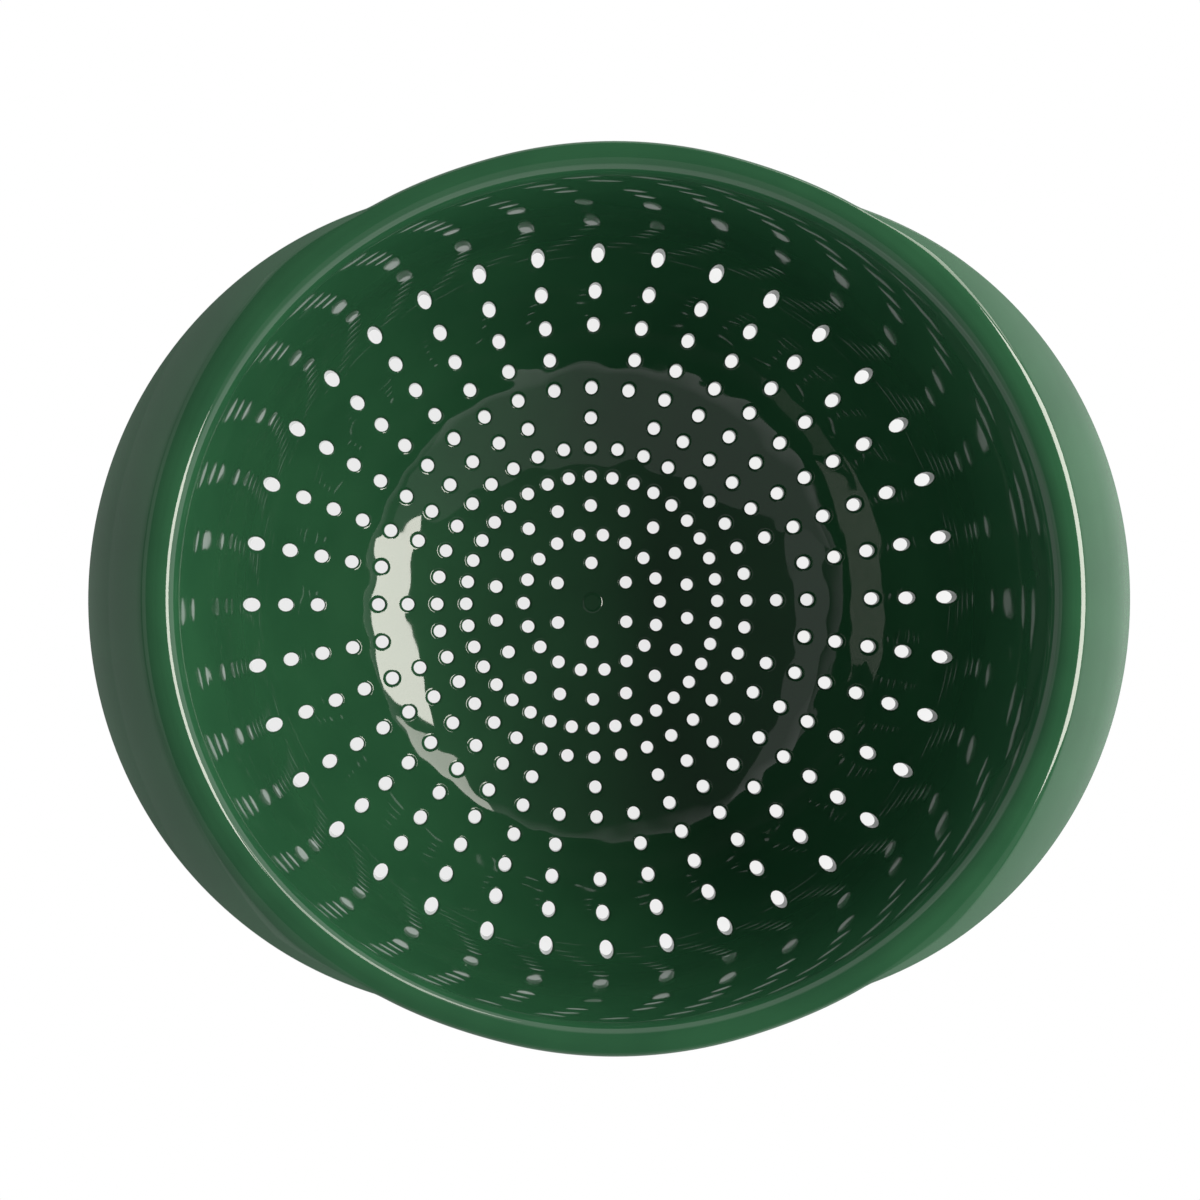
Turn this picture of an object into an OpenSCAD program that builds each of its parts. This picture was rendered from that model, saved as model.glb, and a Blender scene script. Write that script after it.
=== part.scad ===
// Moulded plastic colander: a round bowl with a flat floor, a curved heel, pierced sides,
// a slightly oval mouth with a turned down rim, two drooping handle wings and four horseshoe feet.
// The origin is the centre of the resting plane under the feet, +Z is up and the handles lie along X.
// It is one moulding. The bowl's section is a chain of tangent arcs, split at seams that follow the
// rings of holes, so that its named regions meet face to face.

/* [Bowl] */
// Outside width of the rim, measured between the handles
rim_d = 261.5; // [250:0.5:275]
// Height of the rim above the surface that the feet stand on
total_h = 134; // [125:1:150]
// Thickness of the moulded wall
wall_t = 2.4; // [1.8:0.1:3]
// Radius of the flat middle of the floor
flat_r = 29.5; // [26:0.5:34]
// Slope of the bowl, in degrees, where the small arc of the heel passes into the large arc of the side
heel_slope = 12; // [11:0.5:14]
// Draft of the plain upper wall away from vertical, in degrees
wall_draft = 6.5; // [5:0.5:9]
// Diameter of the gate mark in the middle of the floor
gate_d = 6.4; // [4:0.2:9]
// Depth of the gate mark
gate_depth = 0.4; // [0.2:0.1:0.8]

/* [Perforations] */
// Radius of the innermost ring of holes
first_ring_r = 13.2; // [11:0.1:14.5]
// Distance from the rim's outside in to the last ring of holes, measured between the handles
rings_inset = 21.55; // [19:0.05:26]
// Width of a hole across the radius
hole_w = 4.1; // [3:0.05:4.6]

/* [Rim] */
// Width of the rim from the bowl's inside to its outer edge, measured between the handles
rim_band = 9.4; // [9:0.1:12]
// Bend radius on the hidden side of the rim's inner shoulder
shoulder_bend = 2.4; // [1:0.1:2.6]
// Bend radius on the hidden side of the rim's outer edge
edge_bend = 1.6; // [0.4:0.1:1.8]
// Depth of the rim's turned down lip below the rim top
lip_depth = 10; // [8:0.5:14]
// How much longer the mouth is than wide, on each side
mouth_stretch = 3.4; // [0:0.1:4]
// How much further the rim's outer edge stands out at the handles than between them
rim_stretch = 5.2; // [4:0.1:8]

/* [Handles] */
// Reach of a handle past the rim's outer edge
handle_reach = 15.45; // [12:0.05:20]
// How much smaller the round of a handle's outline is than the rim
handle_inset = 14.25; // [12:0.25:16]
// Radius of a handle's crowned top, seen from the side
handle_crown_r = 48; // [44:1:70]
// Slope of a handle, in degrees, where it leaves the rim's edge
handle_root_slope = 25; // [20:1:30]
// Least width of a handle, where its ends run into the rim
handle_end_w = 0.4; // [0.3:0.1:1]

/* [Feet] */
// Height of the gap under the floor
floor_gap = 6; // [4:0.5:10]
// Thickness of a foot's horseshoe wall
foot_t = 2.4; // [1.8:0.1:3]
// Mean radius of a foot's round end
foot_bend_r = 8; // [7.5:0.1:8.4]
// Length of a foot from its open ends to the middle of its round wall
foot_l = 24; // [18:0.5:28]

/* [Hidden] */

bowl_green = [0.13, 0.33, 0.21];
handle_green = [0.27, 0.45, 0.34];
foot_green = [0.11, 0.29, 0.18];

// Facets of the turned shapes, the bowl's section, the small bends and the holes
turn_fn = 180;
section_fn = 720;
bend_fn = 48;
hole_fn = 32;
// Steps round the oval shapes, and along each arc and straight of their sections
oval_steps = 96;
wall_steps = 4;
shoulder_steps = 6;
edge_steps = 3;
crown_steps = 6;
// Run of every cut past the face that it opens
overrun = 1;

// Holes in each ring, counted from the middle, and the angle of the first hole of each
ring_holes = [6, 18, 18, 36, 36, 36, 36, 36, 36, 36, 36];
ring_turns = [30, 0, 10, 0, 0, 0, 0, 0, 0, 0, 0];
// Radial length of each ring's holes as shares of their width
slot_length_shares = [1, 1, 1, 1, 1, 1, 1.07, 1.12, 1.18, 1.28, 1.46];
rings = len(ring_holes);

// The last ring of the floor and of the heel
floor_rings = 4;
heel_rings = 8;

// Radius of the rim, pitch of the rings, mean height of the floor and slope of the plain wall
rim_r = rim_d / 2;
ring_pitch = (rim_r - rings_inset - first_ring_r) / (rings - 1);
floor_z = floor_gap + wall_t / 2;
draft_slope = 90 - wall_draft;

// The rim turns over two bends. Their centres are given for the mean of the oval.
shoulder_r = shoulder_bend + wall_t;
edge_r = edge_bend + wall_t;
mouth_r = rim_r - rim_band + mouth_stretch / 2;
shoulder_c = [mouth_r + shoulder_r * sin(draft_slope), total_h - shoulder_r];
edge_c = [rim_r + rim_stretch / 2 - edge_r, total_h - edge_r];
wall_top = shoulder_c + (shoulder_r - wall_t / 2) * [-sin(draft_slope), cos(draft_slope)];

// The small arc rises from the flat floor to the seam under the floor's last ring
floor_seam_r = ring_r(floor_rings + 0.5);
heel_arc_r = (floor_seam_r - flat_r) / sin(heel_slope);
heel_c = [flat_r, floor_z + heel_arc_r];
floor_seam_z = heel_c[1] - heel_arc_r * cos(heel_slope);

// The large arc runs on from there until it is tangent to the straight plain wall
side_arc_r = (wall_top[0] - floor_seam_r - (wall_top[1] - floor_seam_z) / tan(draft_slope))
    / (sin(draft_slope) - sin(heel_slope) - (cos(heel_slope) - cos(draft_slope)) / tan(draft_slope));
side_c = [floor_seam_r - side_arc_r * sin(heel_slope), floor_seam_z + side_arc_r * cos(heel_slope)];
wall_foot = side_c + side_arc_r * [sin(draft_slope), -cos(draft_slope)];

// Slopes of the seams, half way between two rings or half a ring past the last
heel_seam = side_slope(ring_r(heel_rings + 0.5));
plain_seam = side_slope(ring_r(rings + 0.5));

// Each foot is a horseshoe, open towards the middle, with its round end under the heel's last ring
foot_bend_c = ring_r(heel_rings) - foot_bend_r;
foot_end_r = ring_r(heel_rings) - foot_l;

// Section of a handle: a crown that leaves the rim's edge and drops to the tip
handle_root = edge_c + edge_r * [sin(handle_root_slope), cos(handle_root_slope)];
crown_c = handle_root - handle_crown_r * [sin(handle_root_slope), cos(handle_root_slope)];

// Outline of a handle from above: one large round, whose ends run into the rim
tip_r = edge_at(0) + handle_reach;
handle_outline_r = rim_r - handle_inset;
outline_c = tip_r - handle_outline_r;
// Steps from the middle of a handle to each of its ends, one past the last where its round clears the rim
handle_steps = 1 + len([for (i = [1:oval_steps / 4]) let (a = 360 * i / oval_steps)
    if (round_at(a) > edge_at(a) + handle_end_w) i]);

// Slopes round the rim's outer bend, with one of them where a handle leaves it
edge_slopes = concat([for (i = [0:edge_steps]) handle_root_slope * i / edge_steps],
    [for (i = [1:edge_steps]) handle_root_slope + (90 - handle_root_slope) * i / edge_steps]);

// Radius of a ring of holes
function ring_r(n) = first_ring_r + (n - 1) * ring_pitch;

// Slope of the large arc at a radius
function side_slope(r) = asin((r - side_c[0]) / side_arc_r);

// Change of an oval's radius at an azimuth, for an oval that is longer than wide by the stretch
function swell(stretch, a) = stretch * cos(2 * a) / 2;

// Radius of the rim's outer edge at an azimuth
function edge_at(a) = rim_r + rim_stretch / 2 + swell(rim_stretch, a);

// Radius of a handle's large round at an azimuth, and of its outline, which ends along the rim
function round_at(a) = outline_c * cos(a) + sqrt(pow(handle_outline_r, 2) - pow(outline_c * sin(a), 2));
function outline_at(a) = max(edge_at(a) + handle_end_w, round_at(a));

// Points along an arc that arches upwards, between two slopes
function crown_points(centre, r, from, to, steps) =
    [for (i = [0:steps]) let (slope = from + (to - from) * i / steps)
        centre + r * [sin(slope), cos(slope)]];

// Section points with the stretch that each takes, which goes over from round to oval up the plain wall
function eased(points) = [for (p = points)
    let (rise = (p[1] - ease_from) / (ease_to - ease_from), share = max(0, min(1, rise)))
    [p[0], p[1], mouth_stretch * share * share * (3 - 2 * share)]];

// Section points that all take one stretch
function stretched(points, stretch) = [for (p = points) [p[0], p[1], stretch]];

// The wall turns oval between its seam and the shoulder
ease_from = side_c[1] - side_arc_r * cos(plain_seam);
ease_to = wall_top[1];

// Least distance from a hole's centre to the middle line of the nearest foot's wall
function foot_distance(r, a) =
    let (b = a - 90 * round(a / 90), x = r * cos(b), y = abs(r * sin(b)))
    x < foot_end_r ? norm([x - foot_end_r, y - foot_bend_r])
    : x < foot_bend_c ? abs(y - foot_bend_r)
    : abs(norm([x - foot_bend_c, y]) - foot_bend_r);

// A hole is left out where a foot's wall stands under it
function clear_of_feet(r, a) = foot_distance(r, a) > (foot_t + hole_w) / 2;

// Solid through closed sections of equally many points, each given round the solid in turn.
// With joined ends it closes on itself, and otherwise each end gets a flat cap.
module loft(sections, joined) {
    count = len(sections);
    size = len(sections[0]);
    spans = joined ? count : count - 1;
    sides = [for (i = [0:spans - 1]) for (k = [0:size - 1])
        let (j = (i + 1) % count, m = (k + 1) % size)
        each [[i * size + k, j * size + k, j * size + m], [i * size + k, j * size + m, i * size + m]]];
    caps = joined ? [] : [[for (k = [0:size - 1]) k], [for (k = [size - 1:-1:0]) (count - 1) * size + k]];
    polyhedron(points = [for (s = sections) each s], faces = concat(sides, caps));
}

// Section turned once round the bowl, each point with its own stretch
module oval_ring(section) {
    loft([for (i = [0:oval_steps - 1]) placed(section, 360 * i / oval_steps)], true);
}

// Section points in space at an azimuth
function placed(section, a) = [for (p = section) let (r = p[0] + swell(p[2], a)) [r * cos(a), r * sin(a), p[1]]];

// Part of a flat ring between two slopes, on the side where the ring sags
module arc_strip(centre, inner_r, outer_r, from, to, fn) {
    reach = 2 * outer_r;
    translate(centre)
        intersection() {
            difference() {
                circle(r = outer_r, $fn = fn);
                circle(r = inner_r, $fn = fn);
            }
            polygon([[0, 0], reach * [sin(from), -cos(from)], reach * [sin(to), -cos(to)]]);
        }
}

// A turned region of the bowl, started half way between two rows of holes
module turned() {
    rotate([0, 0, 180 / ring_holes[rings - 1]])
        rotate_extrude($fn = turn_fn)
            children();
}

// Part of the side's large arc between two slopes
module side_section(from, to) {
    arc_strip(side_c, side_arc_r - wall_t / 2, side_arc_r + wall_t / 2, from, to, section_fn);
}

// One hole: round near the middle, drawn out along the radius higher up
module slot(r, a, length) {
    reach = (length - hole_w) / 2;
    rotate([0, 0, a])
        translate([r, 0, 0])
            linear_extrude(height = total_h)
                if (reach > 0) {
                    translate([-reach, 0])
                        circle(d = hole_w, $fn = hole_fn);
                    translate([reach, 0])
                        circle(d = hole_w, $fn = hole_fn);
                    square([2 * reach, hole_w], center = true);
                } else {
                    circle(d = hole_w, $fn = hole_fn);
                }
}

// All holes of the rings from one number to another
module ring_slots(from, to) {
    for (n = [from:to]) {
        r = ring_r(n);
        step = 360 / ring_holes[n - 1];
        for (k = [0:ring_holes[n - 1] - 1]) {
            a = ring_turns[n - 1] + k * step;
            if (clear_of_feet(r, a)) {
                slot(r, a, hole_w * slot_length_shares[n - 1]);
            }
        }
    }
}

// Flat floor and the first rise round it, with four rings of holes and the gate mark
module floor_disc() {
    color(bowl_green)
        difference() {
            turned() {
                translate([0, floor_gap])
                    square([flat_r, wall_t]);
                arc_strip(heel_c, heel_arc_r - wall_t / 2, heel_arc_r + wall_t / 2, 0, heel_slope, section_fn);
            }
            ring_slots(1, floor_rings);
            translate([0, 0, floor_gap + wall_t - gate_depth])
                cylinder(d = gate_d, h = gate_depth + overrun, $fn = bend_fn);
        }
}

// Curved heel with the next four rings
module heel_wall() {
    color(bowl_green)
        difference() {
            turned()
                side_section(heel_slope, heel_seam);
            ring_slots(floor_rings + 1, heel_rings);
        }
}

// Steep side with the outermost rings
module pierced_wall() {
    color(bowl_green)
        difference() {
            turned()
                side_section(heel_seam, plain_seam);
            ring_slots(heel_rings + 1, rings);
        }
}

// One face of the plain wall from its seam up to the shoulder, offset from the wall's middle
function wall_face(offset) = concat(
    [for (i = [0:wall_steps]) let (slope = plain_seam + (draft_slope - plain_seam) * i / wall_steps)
        side_c + (side_arc_r + offset) * [sin(slope), -cos(slope)]],
    [for (i = [1:wall_steps]) wall_foot + (wall_top - wall_foot) * i / wall_steps
        + offset * [sin(draft_slope), -cos(draft_slope)]]);

// Closed wall between the outermost holes and the rim
module plain_wall() {
    inside = wall_face(-wall_t / 2);
    color(bowl_green)
        oval_ring(eased(concat(wall_face(wall_t / 2), [for (i = [len(inside) - 1:-1:0]) inside[i]])));
}

// One face of the rim's outer bend, from its top down to the vertical
function edge_points(r) = [for (slope = edge_slopes) edge_c + r * [sin(slope), cos(slope)]];

// Rolled rim: shoulder, outer edge and turned down lip
module rim_roll() {
    lip_z = total_h - lip_depth;
    edge_x = edge_c[0] + edge_r;
    under = edge_points(edge_bend);
    color(bowl_green)
        oval_ring(concat(
            stretched(crown_points(shoulder_c, shoulder_bend, 0, -draft_slope, shoulder_steps), mouth_stretch),
            stretched(crown_points(shoulder_c, shoulder_r, -draft_slope, 0, shoulder_steps), mouth_stretch),
            stretched(edge_points(edge_r), rim_stretch),
            stretched([[edge_x, lip_z], [edge_x - wall_t, lip_z]], rim_stretch),
            stretched([for (i = [len(under) - 1:-1:0]) under[i]], rim_stretch)));
}

// Section of the right handle at an azimuth, as radius and height: the crown down to the tip,
// the underside back to the rim and the root up the rim's edge
function handle_section(a) =
    let (shift = swell(rim_stretch, a), out = outline_at(a) - shift - crown_c[0],
        under_r = handle_crown_r - wall_t, in = edge_c[0] + edge_r - crown_c[0])
    [for (p = concat(
            crown_points(crown_c, handle_crown_r, handle_root_slope, asin(out / handle_crown_r), crown_steps),
            crown_points(crown_c, under_r, asin(out / under_r), asin(in / under_r), crown_steps),
            [for (i = [len(edge_slopes) - 1:-1:edge_steps + 1]) edge_points(edge_r)[i]]))
        [p[0], p[1], rim_stretch]];

// Right handle: the drooping wing that the hand holds
module right_handle() {
    color(handle_green)
        loft([for (i = [-handle_steps:handle_steps]) let (a = 360 * i / oval_steps)
            placed(handle_section(a), a)], false);
}

// Left handle: the right one turned half way round
module left_handle() {
    rotate([0, 0, 180])
        right_handle();
}

// Plan of one foot's horseshoe wall
module foot_plan() {
    difference() {
        union() {
            translate([foot_bend_c, 0])
                circle(r = foot_bend_r + foot_t / 2, $fn = bend_fn);
            translate([foot_end_r, -foot_bend_r - foot_t / 2])
                square([foot_bend_c - foot_end_r, 2 * foot_bend_r + foot_t]);
        }
        translate([foot_bend_c, 0])
            circle(r = foot_bend_r - foot_t / 2, $fn = bend_fn);
        translate([foot_end_r - overrun, -foot_bend_r + foot_t / 2])
            square([foot_bend_c - foot_end_r + overrun, 2 * foot_bend_r - foot_t]);
    }
}

// One foot, its top shaped by the underside of the bowl
module foot(a) {
    color(foot_green)
        rotate([0, 0, a])
            difference() {
                linear_extrude(height = side_c[1] / 2)
                    foot_plan();
                rotate_extrude($fn = turn_fn)
                    intersection() {
                        translate(side_c)
                            circle(r = side_arc_r + wall_t / 2, $fn = turn_fn);
                        square([rim_r, total_h]);
                    }
            }
}

module right_foot() { foot(0); }
module back_foot() { foot(90); }
module left_foot() { foot(180); }
module front_foot() { foot(270); }

floor_disc();
heel_wall();
pierced_wall();
plain_wall();
rim_roll();
left_handle();
right_handle();
left_foot();
right_foot();
front_foot();
back_foot();
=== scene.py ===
# Looks of a glossy green moulded plastic colander, built round its CAD frame.
# Sizes written here are millimetres and degrees. They turn to metres where a mesh or a light is made.

import math

import bmesh
import bpy
import numpy as np
from mathutils import Matrix, Vector


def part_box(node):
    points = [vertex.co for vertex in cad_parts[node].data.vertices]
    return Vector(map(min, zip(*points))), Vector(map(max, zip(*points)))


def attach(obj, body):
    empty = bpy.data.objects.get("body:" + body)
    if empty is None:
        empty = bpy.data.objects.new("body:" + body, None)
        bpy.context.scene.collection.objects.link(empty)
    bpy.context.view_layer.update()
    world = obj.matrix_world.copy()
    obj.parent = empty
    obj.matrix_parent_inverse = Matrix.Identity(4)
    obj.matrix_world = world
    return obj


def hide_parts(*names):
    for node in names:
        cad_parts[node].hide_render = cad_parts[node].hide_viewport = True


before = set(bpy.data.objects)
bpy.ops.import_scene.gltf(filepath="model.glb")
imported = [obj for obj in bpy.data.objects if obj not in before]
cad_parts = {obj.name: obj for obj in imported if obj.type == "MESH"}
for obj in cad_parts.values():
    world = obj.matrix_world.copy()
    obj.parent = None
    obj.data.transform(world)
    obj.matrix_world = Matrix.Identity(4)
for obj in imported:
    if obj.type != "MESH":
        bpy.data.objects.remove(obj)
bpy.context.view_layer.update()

MM = 0.001


def sin(degrees):
    return math.sin(math.radians(degrees))


def cos(degrees):
    return math.cos(math.radians(degrees))


def tan(degrees):
    return math.tan(math.radians(degrees))


def asin(share):
    return math.degrees(math.asin(share))


# Driving sizes of the moulding. The overall ones come from the frame.
RIM_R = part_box("rim_roll")[1].y / MM
TOTAL_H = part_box("rim_roll")[1].z / MM
TIP_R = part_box("right_handle")[1].x / MM
FLOOR_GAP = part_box("floor_disc")[0].z / MM
WALL_T = 2.4

# Bowl: radius of the flat floor, slope where the heel's arc meets the side's, draft of the wall
FLAT_R = 29.5
HEEL_SLOPE = 12.0
WALL_DRAFT = 6.5

# Rim: its width, the bend of its shoulder, the depth of its lip and how much longer the mouth is
RIM_BAND = 9.4
SHOULDER_R = 4.8
LIP_DEPTH = 10.0
MOUTH_STRETCH = 3.4

# Handles: how much smaller their outline's round is, their crown and their slope at the rim
HANDLE_INSET = 14.25
CROWN_R = 48.0
ROOT_SLOPE = 28.0

# Gate mark in the middle of the floor: its radius, half the width of its edge and its rise
GATE_R = 3.0
GATE_EDGE = 0.5
GATE_RISE = 0.42

# Finer form of the wall's upper part, as its mirrored rows of holes show it: a tighter bend from
# the tenth ring on, a straight part that leans a little out and a slow flare into the shoulder,
# whose bend is wider than the source's and sits a little further in
CORNER_R = 73.4
WALL_LEAN = 7.86
FLARE_LEAN = 12.0
TOP_BEND_R = 6.5
TOP_SHIFT = -0.46

# Outer edge of the rim: centre radius and bend along the handles and between them, and the
# azimuths off a handle's middle between which the edge moves in and its bend tightens
HANDLE_EDGE = 130.5
HANDLE_EDGE_SWELL = 1.2
HANDLE_EDGE_R = 8.2
SIDE_EDGE = 128.8
SIDE_EDGE_R = 1.3
EDGE_MOVES_IN = (52, 75)
EDGE_TIGHTENS = (44, 58)
# Least bend on the hidden side of the rim's edge
LEAST_BEND = 0.3

# Rings of drain holes, from the middle out: holes in each, angle of the first, length over width
FIRST_RING_R = 13.2
RINGS_INSET = 21.55
HOLE_W = 4.03
RING_HOLES = (6, 18, 18, 36, 36, 36, 36, 36, 36, 36, 36)
RING_TURNS = (30, 0, 10, 0, 0, 0, 0, 0, 0, 0, 0)
SLOT_LENGTH_SHARES = (1, 1, 1, 1, 1, 1, 1.02, 1.04, 1.06, 1.09, 1.12)
FLOOR_RINGS = 4
HEEL_RINGS = 8
RINGS = len(RING_HOLES)
# Length that a hole's outer side leans in on its way down, where the wall has the given slope
HOLE_LEAN = 0.3
HOLE_LEAN_SLOPE = 60
# Length that the rounding of a hole's edge takes off the wall's faces, inside and outside
HOLE_SOFT = {-1: 1.15, 1: 0.3}
SOFT_STEPS = 4
# Steps from a foot's middle to the cells that its wall leaves blank, in the rings that have some
BLANK_STEPS = {6: 1, 8: 0}
# Distance within which points of neighbouring cells are one
MERGE = 0.002

# Feet: a horseshoe's mean radius and length, its small roundings and how far it enters the wall
FOOT_BEND_R = 8.0
FOOT_L = 24.0
FOOT_SOFT = 0.7
FOOT_ROOT = 1.0
FOOT_SINK = 0.8

# Steps of the meshes: along the arcs and the sides of a hole's cell in a full ring, round the oval
# pieces, along a bend and a part of the wall, and along a foot's leg, its round, its ends and edges
ARC_STEPS = 4
SIDE_STEPS = 4
FULL_RING = 36
OVAL_STEPS = 288
BEND_STEPS = 10
WALL_STEPS = 8
LEG_STEPS = 4
HORSESHOE_STEPS = 20
CAP_STEPS = 8
ROUND_STEPS = 4

# Radiance of the studio, where 1 is white: its ceiling, and its walls and the table under the bowl
# as they are on the left and on the right. The table's is a painted glow that only mirrored rays
# see, brighter on the left under the bowl in place of the light that slants in through the holes
CEILING = 0.12
WALLS = (0.72, 1.6)
UNDER_BOWL = (1.15, 0.5)
# Share of the camera's white on the table under the bowl that gives way to a grey paint: painted
# shade, in which the bowl's real shadow also shows. Past the rim the table is plain white
SHADE = 0.2
# Distances from the axis over which that painted shade fades out, and the mirrored table turns to wall
# light
SHADE_FADES = (115, 142)
TABLE_TURNS = (150, 400)

# Values worked out from the sizes, as the part's source does it
RING_PITCH = (RIM_R - RINGS_INSET - FIRST_RING_R) / (RINGS - 1)
FLOOR_Z = FLOOR_GAP + WALL_T / 2
STEEP = 90 - WALL_DRAFT
MOUTH_R = RIM_R - RIM_BAND + MOUTH_STRETCH / 2
SHOULDER_C = (MOUTH_R + SHOULDER_R * sin(STEEP), TOTAL_H - SHOULDER_R)
WALL_TOP = (
    SHOULDER_C[0] - (SHOULDER_R - WALL_T / 2) * sin(STEEP),
    SHOULDER_C[1] + (SHOULDER_R - WALL_T / 2) * cos(STEEP),
)


def ring_r(n):
    """Radius of a ring of holes, counted from 1. Halves lie between two rings."""
    return FIRST_RING_R + (n - 1) * RING_PITCH


FLOOR_SEAM_R = ring_r(FLOOR_RINGS + 0.5)
HEEL_R = (FLOOR_SEAM_R - FLAT_R) / sin(HEEL_SLOPE)
HEEL_C = (FLAT_R, FLOOR_Z + HEEL_R)
FLOOR_SEAM_Z = HEEL_C[1] - HEEL_R * cos(HEEL_SLOPE)
SIDE_R = (WALL_TOP[0] - FLOOR_SEAM_R - (WALL_TOP[1] - FLOOR_SEAM_Z) / tan(STEEP)) / (
    sin(STEEP) - sin(HEEL_SLOPE) - (cos(HEEL_SLOPE) - cos(STEEP)) / tan(STEEP)
)
SIDE_C = (FLOOR_SEAM_R - SIDE_R * sin(HEEL_SLOPE), FLOOR_SEAM_Z + SIDE_R * cos(HEEL_SLOPE))

# The visual wall's tighter bend, and its flare that ends where the shoulder takes over
CORNER_SEAM_R = ring_r(RINGS - 0.5)
CORNER_SLOPE = asin((CORNER_SEAM_R - SIDE_C[0]) / SIDE_R)
CORNER_C = (
    SIDE_C[0] + (SIDE_R - CORNER_R) * sin(CORNER_SLOPE),
    SIDE_C[1] - (SIDE_R - CORNER_R) * cos(CORNER_SLOPE),
)
PLAIN_SEAM = asin((ring_r(RINGS + 0.5) - CORNER_C[0]) / CORNER_R)
WALL_SLOPE = 90 - WALL_LEAN
TOP_SLOPE = 90 - FLARE_LEAN
TOP_BEND_C = (
    SHOULDER_C[0] + TOP_SHIFT + (TOP_BEND_R - SHOULDER_R) * sin(TOP_SLOPE),
    TOTAL_H - TOP_BEND_R,
)
TOP_END = (
    TOP_BEND_C[0] - (TOP_BEND_R - WALL_T / 2) * sin(TOP_SLOPE),
    TOP_BEND_C[1] + (TOP_BEND_R - WALL_T / 2) * cos(TOP_SLOPE),
)
FLARE_R = (
    (TOP_END[0] - CORNER_C[0]) * sin(WALL_SLOPE) - (TOP_END[1] - CORNER_C[1]) * cos(WALL_SLOPE) - CORNER_R
) / (1 - cos(WALL_SLOPE - TOP_SLOPE))
FLARE_C = (TOP_END[0] + FLARE_R * sin(TOP_SLOPE), TOP_END[1] - FLARE_R * cos(TOP_SLOPE))
EASE_FROM = CORNER_C[1] - CORNER_R * cos(PLAIN_SEAM)
OUTLINE_R = RIM_R - HANDLE_INSET
OUTLINE_C = TIP_R - OUTLINE_R
FOOT_END_R = ring_r(HEEL_RINGS) - FOOT_L
FOOT_BEND_C = ring_r(HEEL_RINGS) - FOOT_BEND_R


def swell(stretch, a):
    """Change of an oval's radius at an azimuth."""
    return stretch * cos(2 * a) / 2


def eased_step(t):
    """Smooth step from 0 to 1 as t goes from 0 to 1."""
    t = min(1, max(0, t))
    return t * t * (3 - 2 * t)


def rim_edge(a):
    """Centre radius and bend radius of the rim's outer edge at an azimuth. Along a handle the rim
    reaches out to it with a soft bend, and between the handles its edge is tight."""
    off = abs((a + 90) % 180 - 90)
    inward = eased_step((off - EDGE_MOVES_IN[0]) / (EDGE_MOVES_IN[1] - EDGE_MOVES_IN[0]))
    tight = eased_step((off - EDGE_TIGHTENS[0]) / (EDGE_TIGHTENS[1] - EDGE_TIGHTENS[0]))
    handle = HANDLE_EDGE + swell(HANDLE_EDGE_SWELL, a)
    centre = handle + (SIDE_EDGE - handle) * inward
    return centre, HANDLE_EDGE_R + (SIDE_EDGE_R - HANDLE_EDGE_R) * tight


def outline_at(a):
    """Radius of a handle's outline at an azimuth."""
    return OUTLINE_C * cos(a) + math.sqrt(OUTLINE_R**2 - (OUTLINE_C * sin(a)) ** 2)


# Mesh helpers


def new_piece(name, mesh, material, node):
    """Puts a finished mesh in the scene as a piece that stands for a CAD node."""
    piece = bpy.data.objects.new(name, mesh)
    bpy.context.scene.collection.objects.link(piece)
    mesh.materials.clear()
    mesh.materials.append(material)
    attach(piece, "root")
    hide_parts(node)
    return piece


def smooth_with(mesh, normals):
    """Shades a mesh with one given normal at each of its points."""
    mesh.shade_smooth()
    mesh.normals_split_custom_set_from_vertices(normals)


def outward(mesh):
    """Turns the faces of a closed mesh outwards."""
    bm = bmesh.new()
    bm.from_mesh(mesh)
    bmesh.ops.recalc_face_normals(bm, faces=bm.faces)
    bm.to_mesh(mesh)
    bm.free()


def loop_faces(loops, size, base=0):
    """Faces between loops of points that follow each other."""
    faces = []
    for i in range(loops - 1):
        for k in range(size):
            m = (k + 1) % size
            low = base + i * size
            high = low + size
            faces.append((low + k, low + m, high + m, high + k))
    return faces


def lofted(name, section, azimuths, joined, turn=0):
    """Closed mesh through sections at azimuths, with its exact normals, turned round the axis.
    A section is a list of (radius, height, radial part and height part of the normal)."""
    step = 0.01
    sections = [section(a) for a in azimuths]
    size = len(sections[0])
    points = []
    normals = []
    for a, points_here in zip(azimuths, sections):
        before = section(a - step)
        after = section(a + step)
        x = cos(a + turn)
        y = sin(a + turn)
        for k, (r, z, nr, nz) in enumerate(points_here):
            dr = (after[k][0] - before[k][0]) / math.radians(2 * step)
            dz = (after[k][1] - before[k][1]) / math.radians(2 * step)
            na = -(nr * dr + nz * dz) / r
            points.append((r * MM * x, r * MM * y, z * MM))
            normals.append(Vector((nr * x - na * y, nr * y + na * x, nz)).normalized())
    count = len(sections)
    faces = []
    for i in range(count if joined else count - 1):
        j = (i + 1) % count
        for k in range(size):
            m = (k + 1) % size
            faces.append((i * size + k, j * size + k, j * size + m, i * size + m))
    if not joined:
        faces.append(tuple(range(size)))
        faces.append(tuple((count - 1) * size + k for k in reversed(range(size))))
    mesh = bpy.data.meshes.new(name)
    mesh.from_pydata(points, [], faces)
    outward(mesh)
    smooth_with(mesh, normals)
    return mesh


def bend(centre, radius, start, end, steps, hollow=False):
    """Section points along an arc between two slopes, 0 level on top and 90 outwards.
    The normals point away from the centre, or to it on the hollow side."""
    side = -1 if hollow else 1
    found = []
    for i in range(steps + 1):
        slope = start + (end - start) * i / steps
        found.append(
            (
                centre[0] + radius * sin(slope),
                centre[1] + radius * cos(slope),
                side * sin(slope),
                side * cos(slope),
            )
        )
    return found


def stretched(points, stretch, a):
    """Section points moved out or in to where the oval is at an azimuth."""
    shift = swell(stretch, a)
    return [(r + shift, z, nr, nz) for r, z, nr, nz in points]


# The bowl's section below the plain wall


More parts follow.
